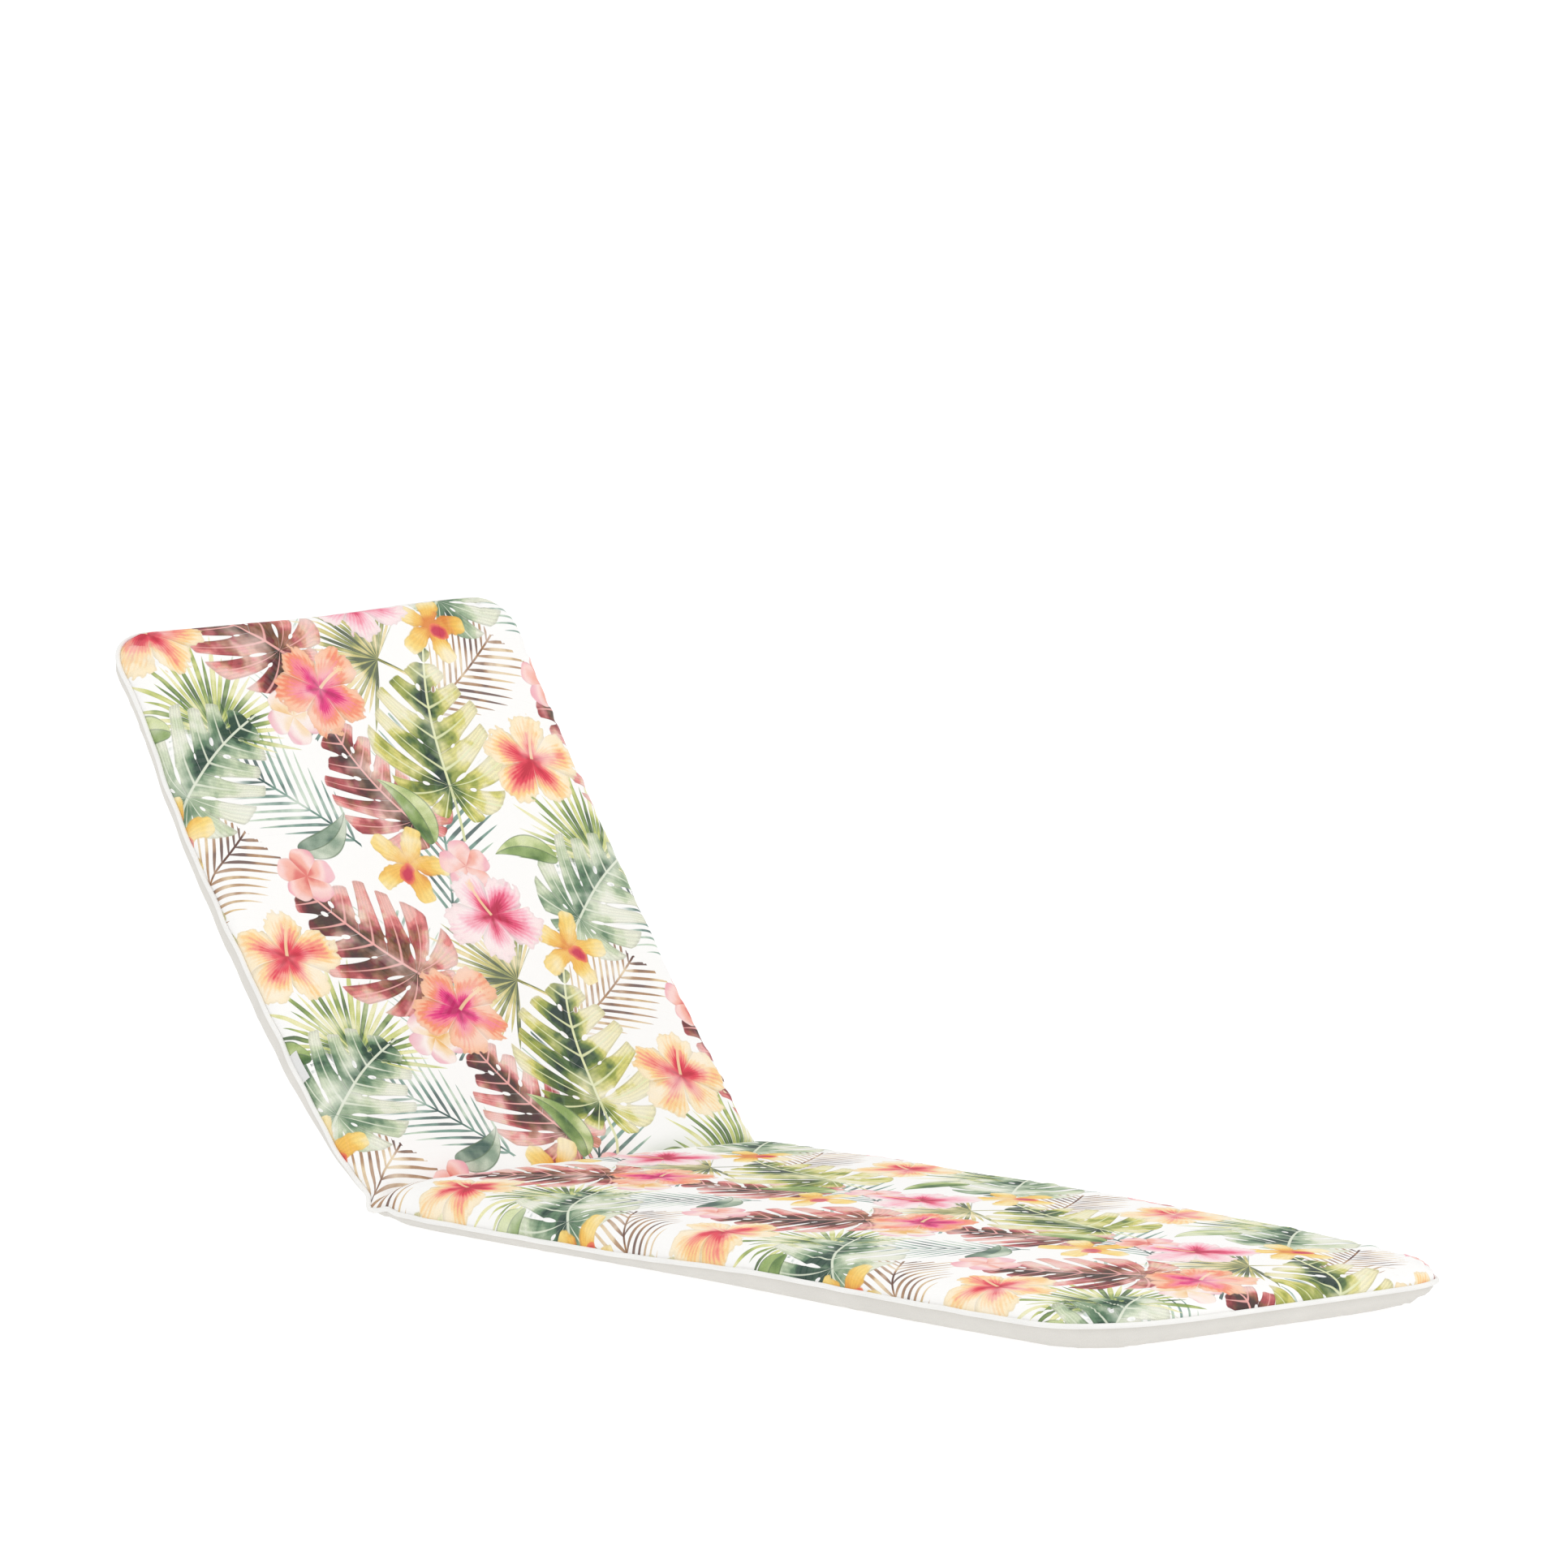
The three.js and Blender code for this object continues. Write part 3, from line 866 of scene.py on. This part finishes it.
def cloth_places(s, v):
    """Where each point lies on the flat cloth, in metres: to the right, and up towards the head."""
    along = np.abs(s)
    across = v * half_width(s)
    run = np.zeros_like(s)
    for sign, section in ((-1, BACK_LENGTH), (1, SEAT_LENGTH)):
        dense = np.linspace(-BACK_START, section, DENSE)
        steps = step_lengths(middle_line(sign * dense))
        steps = np.where(dense[1:] > section - SHOULDER, np.diff(dense), steps)
        run = np.where(np.sign(s + TINY) == sign, np.interp(along, dense, running_sum(steps)), run)
    # The shoulder takes more cloth than its plan
    inward = np.linspace(0, SHOULDER, DENSE)
    drop = (THICKNESS - SEAM_AT_FOOT) * shoulder_share(inward)
    extra = running_sum(np.hypot(np.diff(inward), np.diff(drop)) - np.diff(inward))
    spread = np.interp(edge_distance(s, across), inward, extra[-1] - extra)
    side, end = past_corner(s, across)
    both = (side > 0) & (end > 0)
    reach = np.maximum(np.hypot(side, end), TINY)
    out_side = np.where(both, side / reach, side > end)
    out_end = np.where(both, end / reach, side <= end)
    right = across + np.sign(across) * out_side * spread
    up = -np.sign(s + TINY) * (run + out_end * spread)
    return right, up


def motif_places(kind, right, up):
    """Every place of one kind of motif that can touch the cloth: middle, turn, length and tone."""
    places = []
    for across, height, turn, size, tone in LAYOUT[kind]:
        for column in range(-REPEATS_ACROSS, REPEATS_ACROSS + 1):
            for row in range(-REPEATS_UP, REPEATS_UP + 1):
                middle = (across + column * REPEAT_ACROSS, height + (row + (column % 2) / 2) * REPEAT_UP)
                near_side = right.min() - MOTIF_REACH < middle[0] < right.max() + MOTIF_REACH
                if near_side and up.min() - MOTIF_REACH < middle[1] < up.max() + MOTIF_REACH:
                    places.append((*middle, math.radians(turn), size, tone))
    return places


def add_corner_vectors(mesh, name, values):
    layer = mesh.attributes.new(name, "FLOAT_VECTOR", "CORNER")
    layer.data.foreach_set("vector", np.ascontiguousarray(values, np.float32).ravel())


def print_cloth(mesh, right, up, corner_points, face_of_corner, face_count):
    """Give each face the nearest motif of each kind, as places in that motif's own axes."""
    corner_right, corner_up = right[corner_points], up[corner_points]
    counts = np.bincount(face_of_corner, minlength=face_count)
    face_right = np.bincount(face_of_corner, corner_right, face_count) / counts
    face_up = np.bincount(face_of_corner, corner_up, face_count) / counts
    cloth = np.stack([corner_right, corner_up, np.zeros_like(corner_up)], -1)
    add_corner_vectors(mesh, "cloth", cloth)
    for kind, (_, middle) in MOTIFS.items():
        places = np.array(motif_places(kind, right, up))
        gaps = np.full(face_count, np.inf)
        chosen = np.zeros(face_count, int)
        for number, (x, z, turn, size, tone) in enumerate(places):
            gap = np.hypot(face_right - x, face_up - z) / size
            nearer = gap < gaps
            gaps[nearer] = gap[nearer]
            chosen[nearer] = number
        x, z, turn, size, tone = places[chosen[face_of_corner]].T
        sin_turn, cos_turn = np.sin(turn), np.cos(turn)
        from_x = corner_right - x + sin_turn * middle * size
        from_z = corner_up - z + cos_turn * middle * size
        along = (from_x * sin_turn + from_z * cos_turn) / size
        sideways = (from_x * cos_turn - from_z * sin_turn) / size
        add_corner_vectors(mesh, "motif_" + kind, np.stack([along, sideways, tone], -1))


# Surface map: the top in four strips, two by two, and above them the under side in four smaller strips.
# A strip's width and height are shares of the map
STRIPS = 4
STRIP_MARGIN = 0.003
TOP_STRIP = (0.5, 0.4)
UNDER_STRIP = (0.25, 0.2)
UNDER_BASE = 0.8


def in_strip(column, row, u, v, size, base=0):
    """Place on the surface map of u and v, which run from 0 to 1 in a strip inside its margin."""
    width, height = size
    across = column * width + STRIP_MARGIN + u * (width - 2 * STRIP_MARGIN)
    up = base + row * height + STRIP_MARGIN + v * (height - 2 * STRIP_MARGIN)
    return np.stack([across, up], -1)


def strip_map(mesh, shape, under_shape, corners, count_top, sizes):
    rows_in_strip = (shape[0] - 1) // STRIPS
    columns = shape[1] - 1
    top_corners = int(sizes[:count_top].sum())
    row, column = np.divmod(np.arange(count_top), columns)
    strip = (row // rows_in_strip)[:, None]
    u = (column[:, None] + np.array([0, 0, 1, 1])) / columns
    v = ((row % rows_in_strip)[:, None] + np.array([0, 1, 1, 0])) / rows_in_strip
    coordinates = np.zeros((len(corners), 2))
    coordinates[:top_corners] = in_strip(strip % 2, strip // 2, u, v, TOP_STRIP).reshape(-1, 2)
    # Under faces also hold the seam's points between their own corners
    count = shape[0] * shape[1]
    grid = np.zeros((int(corners.max()) + 1, 2))
    grid[:count] = np.stack(np.divmod(np.arange(count), shape[1]), -1) / 2
    grid[count:] = np.stack(np.divmod(np.arange(len(grid) - count), under_shape[1] - 2), -1) + 1
    under_rows = rows_in_strip // 2
    under_columns = under_shape[1] - 1
    face_strip = np.arange(len(sizes) - count_top) // under_columns // under_rows
    strip = np.repeat(face_strip, sizes[count_top:])
    places = grid[corners[top_corners:]]
    u = places[:, 1] / under_columns
    v = places[:, 0] / under_rows - strip
    coordinates[top_corners:] = in_strip(strip, 0, u, v, UNDER_STRIP, UNDER_BASE)
    layer = mesh.uv_layers.new(name="OFBake")
    layer.data.foreach_set("uv", coordinates.astype(np.float32).ravel())


# Height of the weave's threads
THREAD_DEPTH = 0.0003


def printed_material():
    material, shader = new_material("printed_cover", 0.85)
    cloth = attribute("cloth")
    wash = noise(cloth, 18, 3, contrast=1.7)
    blot = noise(cloth, 60, 2, contrast=1.5)
    grain = noise(cloth, 700, 1)
    picture = colour(GROUND)
    for kind, (motif, _) in MOTIFS.items():
        u, w, tone = parts(attribute("motif_" + kind))
        mask, tint = motif(u, w, tone, wash, blot, grain)
        picture = mix(picture, thinned(tint, wash), clamp(mask * COVERING))
    Shader.feed(shader.inputs["Base Color"], scale(picture, PRINT_BRIGHTNESS))
    cloth_bump(shader, cloth, 900, 0.4)
    return material


def cloth_bump(shader, cloth, size, strength):
    """Fine unevenness of woven cloth, with size threads and knots to a metre."""
    node = Shader.node("ShaderNodeBump")
    node.inputs["Strength"].default_value = strength
    node.inputs["Distance"].default_value = THREAD_DEPTH
    Shader.feed(node.inputs["Height"], plain_noise(cloth, size, 1))
    Shader.feed(shader.inputs["Normal"], Value(node.outputs["Normal"]))


def plain_cloth(name, shade, size=800, contrast=0.05):
    """Plain woven cloth with slight cloudiness, in the places given by the cloth attribute."""
    material, shader = new_material(name, 0.9)
    cloth = attribute("cloth")
    cloud = noise(cloth, 22, 2) - 0.5
    thread = noise(cloth, size, 0, contrast=1.5) - 0.5
    amount = cloud * contrast + (thread * contrast + 1.0)
    Shader.feed(shader.inputs["Base Color"], scale(colour(shade)[:3], amount))
    cloth_bump(shader, cloth, size, 0.5)
    return material


def cover_faces(shape):
    """Faces of the top and of an under side with cells twice as large, which share the seam's points."""
    top = np.arange(shape[0] * shape[1]).reshape(shape)
    under = top[::2, ::2].copy()
    inner = under[1:-1, 1:-1]
    inner[...] = top.size + np.arange(inner.size).reshape(inner.shape)
    faces = list(grid_quads(top))
    count_top = len(faces)
    rows, columns = under.shape[0] - 1, under.shape[1] - 1
    for row, column in np.ndindex(rows, columns):
        ring = [under[row, column]]
        if column == 0:
            ring.append(top[2 * row + 1, 0])
        ring.append(under[row + 1, column])
        if row == rows - 1:
            ring.append(top[-1, 2 * column + 1])
        ring.append(under[row + 1, column + 1])
        if column == columns - 1:
            ring.append(top[2 * row + 1, -1])
        ring.append(under[row, column + 1])
        if row == 0:
            ring.append(top[0, 2 * column + 1])
        faces.append(ring[::-1])
    return faces, count_top


def make_cover(top_material, under_material):
    s, v = cover_grid()
    top = top_point(s, v)
    seam = seam_point(s, v)
    for edge in (np.s_[0], np.s_[-1], np.s_[:, 0], np.s_[:, -1]):
        top[edge] = seam[edge]
    top = softened(settled(top, s, v), s, v, seed=11)
    s_under, v_under = s[::2, ::2], v[::2, ::2]
    under = settled(under_point(s_under, v_under), s_under, v_under)
    under = softened(under, s_under, v_under, seed=23, under=True)[1:-1, 1:-1]
    under[..., 2] = np.maximum(under[..., 2], 0)
    faces, count_top = cover_faces(s.shape)
    points = np.concatenate([top.reshape(-1, 3), under.reshape(-1, 3)])
    cover = new_mesh("cover", points, faces, [top_material, under_material])
    slots = np.zeros(len(faces), np.int32)
    slots[count_top:] = 1
    cover.data.polygons.foreach_set("material_index", slots)
    right, up = (
        np.concatenate([whole_side.ravel(), whole_side[::2, ::2][1:-1, 1:-1].ravel()])
        for whole_side in cloth_places(s, v)
    )
    corners = np.zeros(len(cover.data.loops), np.int32)
    cover.data.loops.foreach_get("vertex_index", corners)
    sizes = np.zeros(len(faces), np.int32)
    cover.data.polygons.foreach_get("loop_total", sizes)
    print_cloth(cover.data, right, up, corners, np.repeat(np.arange(len(faces)), sizes), len(faces))
    strip_map(cover.data, s.shape, s_under.shape, corners, count_top, sizes)
    return cover


def make_piping(material):
    s, v = cover_grid()
    rim = (np.s_[:, 0], np.s_[-1, 1:-1], np.s_[::-1, -1], np.s_[0, -2:0:-1])
    s_rim = np.concatenate([s[part] for part in rim])
    v_rim = np.concatenate([v[part] for part in rim])
    seam = settled(seam_point(s_rim, v_rim), s_rim, v_rim)
    tangent = np.roll(seam, -1, 0) - np.roll(seam, 1, 0)
    tangent /= norm(tangent, axis=1, keepdims=True)
    outward = np.cross(tangent, top_direction(s_rim, v_rim))
    outward /= norm(outward, axis=1, keepdims=True)
    up = np.cross(outward, tangent)
    centre = seam + outward * (PIPING_RADIUS - PIPING_SEATING)
    sides = PIPING_SIDES
    rings = tube_rings(centre, PIPING_RADIUS, outward, up, sides)
    count = len(centre)
    index = np.arange(count * sides).reshape(count, sides)
    quads = grid_quads(np.pad(index, ((0, 1), (0, 1)), "wrap"))
    cord = new_mesh("piping_cord", rings.reshape(-1, 3), quads, [material])
    run = np.cumsum(norm(np.diff(centre, axis=0, prepend=centre[-1:]), axis=1))
    girth = 2 * math.pi * PIPING_RADIUS
    ring_place = np.stack(np.broadcast_arrays(run[:, None], girth * np.arange(sides) / sides, 0), -1)
    corner_places = ring_place.reshape(-1, 3)[quads]
    wrapped_along = (quads // sides == 0) & (quads[:, [0]] // sides == count - 1)
    wrapped_round = (quads % sides == 0) & (quads[:, [0]] % sides == sides - 1)
    corner_places[..., 0] += np.where(wrapped_along, run[-1], 0)
    corner_places[..., 1] += np.where(wrapped_round, girth, 0)
    add_corner_vectors(cord.data, "cloth", corner_places)
    return cord


def make_label(material):
    """Folded satin tab, sewn in at the seam and lying on the side of the back; it is left bare."""
    rows = np.linspace(-LABEL_NEAR, -LABEL_FAR, LABEL_ROWS)
    heights = np.linspace(LABEL_FOOT, LABEL_TOP, LABEL_COLUMNS)
    s, height = np.meshgrid(rows, heights, indexing="ij")
    full = top_depth(s, -side_half(s))
    from_seam = SHOULDER * (1 - (1 - (height / full) ** SHOULDER_POWER) ** (1 / SHOULDER_POWER))
    v = -(half_width(s) - from_seam) / half_width(s)
    wall = settled(top_point(s, v), s, v)
    normals = face_normals(wall)
    normals *= np.sign(-normals[..., 1:2])
    curl = LABEL_CURL * smooth((height - LABEL_FOOT) / (LABEL_TOP - LABEL_FOOT)) ** 2
    inner = wall + (LABEL_LIFT + curl)[..., None] * normals
    outer = inner + LABEL_THICKNESS * normals
    points = np.concatenate([inner.reshape(-1, 3), outer.reshape(-1, 3)])
    grid = np.arange(s.size).reshape(s.shape)
    faces = [*grid_quads(grid), *(grid_quads(grid)[:, ::-1] + s.size)]
    rim = np.concatenate([grid[:-1, 0], grid[-1, :-1], grid[:0:-1, -1], grid[0, :0:-1]])
    for start, end in zip(rim, np.roll(rim, -1)):
        faces.append((end, start, start + s.size, end + s.size))
    return new_mesh("bare_label", points, faces, [material], smooth_shaded=False)


def make_stitches(material):
    """Run of stitches in the channel under the hinge line."""
    pitch = STITCH_LENGTH + STITCH_GAP
    count = int(2 * (half_width(np.zeros(1))[0] - STITCHES_FROM_SIDES) / pitch)
    steps = np.linspace(-0.5, 0.5, STITCH_RINGS)
    arched = np.cos(steps * math.pi)
    s = np.zeros(STITCH_RINGS)
    index = np.arange(STITCH_RINGS * STITCH_SIDES).reshape(STITCH_RINGS, STITCH_SIDES)
    sides = grid_quads(np.pad(index, ((0, 0), (0, 1)), "wrap"))
    points, faces = [], []
    for number in range(count):
        middle = (number - (count - 1) / 2) * pitch
        v = (middle + steps * STITCH_LENGTH) / half_width(s)
        down = -top_direction(s, v)
        line = settled(under_point(s, v), s, v) + (STITCH_RADIUS * (arched - STITCH_SINK))[:, None] * down
        girth = STITCH_RADIUS * (STITCH_END_SHARE + (1 - STITCH_END_SHARE) * arched)
        rings = tube_rings(line, girth, down, np.cross(down, [0, 1, 0]), STITCH_SIDES)
        first = len(points)
        points += list(rings.reshape(-1, 3))
        faces += list(sides + first)
        faces += [index[0] + first, index[-1, ::-1] + first]
    return new_mesh("hinge_stitches", points, faces, [material])


# Camera as in the photograph: its direction, distance and lens
CAMERA_FRAME = 1932
CAMERA_FOCAL_PIXELS = 11000
CAMERA_DISTANCE = 10.214
CAMERA_YAW = math.radians(138.62)
CAMERA_PITCH = math.radians(5.97)
CAMERA_ROLL = 0.0082
CAMERA_REACH = 500
CAMERA_TARGET = Vector((0.3783 + HINGE_X, HINGE_Y, 0.5258))


def make_camera():
    looking = Vector((
        math.cos(CAMERA_YAW) * math.cos(CAMERA_PITCH),
        math.sin(CAMERA_YAW) * math.cos(CAMERA_PITCH),
        -math.sin(CAMERA_PITCH),
    ))
    data = bpy.data.cameras.new("camera")
    data.lens = data.sensor_width * CAMERA_FOCAL_PIXELS / CAMERA_FRAME
    data.clip_end = CAMERA_REACH
    camera = bpy.data.objects.new("camera", data)
    scene.collection.objects.link(camera)
    camera.location = CAMERA_TARGET - looking * CAMERA_DISTANCE
    level = looking.to_track_quat("-Z", "Y").to_matrix()
    camera.rotation_euler = (level @ Matrix.Rotation(CAMERA_ROLL, 3, "Z")).to_euler()
    scene.camera = camera


# The floor is a lit white table, so that it shows as white as the background does
FLOOR_GLOW = 0.78
FLOOR_TONE = 0.30
FLOOR_DROP = -0.0003
FLOOR_SIZE = 150
FLOOR_NEAR = 2


def floor_material():
    """White from above; seen from below it lets the part show through."""
    material, surface = new_material("floor", 0.9)
    surface.inputs["Base Color"].default_value = (FLOOR_TONE, FLOOR_TONE, FLOOR_TONE, 1)
    surface.inputs["Emission Color"].default_value = (1, 1, 1, 1)
    surface.inputs["Emission Strength"].default_value = FLOOR_GLOW
    facing = Shader.node("ShaderNodeNewGeometry").outputs["Backfacing"]
    clear = Shader.node("ShaderNodeBsdfTransparent").outputs[0]
    either = Shader.node("ShaderNodeMixShader")
    for socket, output in zip(either.inputs, (facing, surface.outputs[0], clear)):
        Shader.feed(socket, Value(output))
    Shader.feed(Shader.tree.nodes["Material Output"].inputs["Surface"], Value(either.outputs[0]))
    return material


def make_floor(material):
    """Nine sheets, so that the one under the part is small and its shading stays exact."""
    places = (-FLOOR_SIZE, -FLOOR_NEAR, FLOOR_NEAR, FLOOR_SIZE)
    corners = [(x, y, FLOOR_DROP) for y in places for x in places]
    faces = grid_quads(np.arange(16).reshape(4, 4))[:, ::-1]
    floor = new_mesh("floor", corners, faces, [material], smooth_shaded=False)


KEY_PLACE = Vector((3.0, -0.6, 3.6))
KEY_TARGET = Vector((0.1, 0, 0.2))
KEY_SIZE = 3.0
KEY_POWER = 24


def make_light():
    """White surroundings, and one large soft light from the foot's side."""
    world = bpy.data.worlds.new("studio")
    scene.world = world
    world.use_nodes = True
    world.node_tree.nodes["Background"].inputs["Color"].default_value = (1, 1, 1, 1)
    data = bpy.data.lights.new("key", "AREA")
    data.shape = "DISK"
    data.size = KEY_SIZE
    data.energy = KEY_POWER
    light = bpy.data.objects.new("key", data)
    scene.collection.objects.link(light)
    light.location = KEY_PLACE
    light.rotation_euler = (KEY_TARGET - KEY_PLACE).to_track_quat("-Z", "Y").to_euler()


top_material = printed_material()
under_material = plain_cloth("under_cover", (217, 214, 208))
piping_material = plain_cloth("piping", (237, 236, 233), size=1100)
label_material = plain_material("label", (0.72, 0.72, 0.71), 0.45)
thread_material = plain_material("thread", (0.86, 0.85, 0.83), 0.6)

cover = make_cover(top_material, under_material)
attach(cover, "root")
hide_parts("cushion")

piping = make_piping(piping_material)
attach(piping, "root")
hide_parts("piping")

label = make_label(label_material)
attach(label, "root")
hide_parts("side_label")

stitches = make_stitches(thread_material)
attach(stitches, "root")

make_camera()
make_floor(floor_material())
make_light()
scene.view_settings.view_transform = "Standard"

bpy.context.view_layer.update()
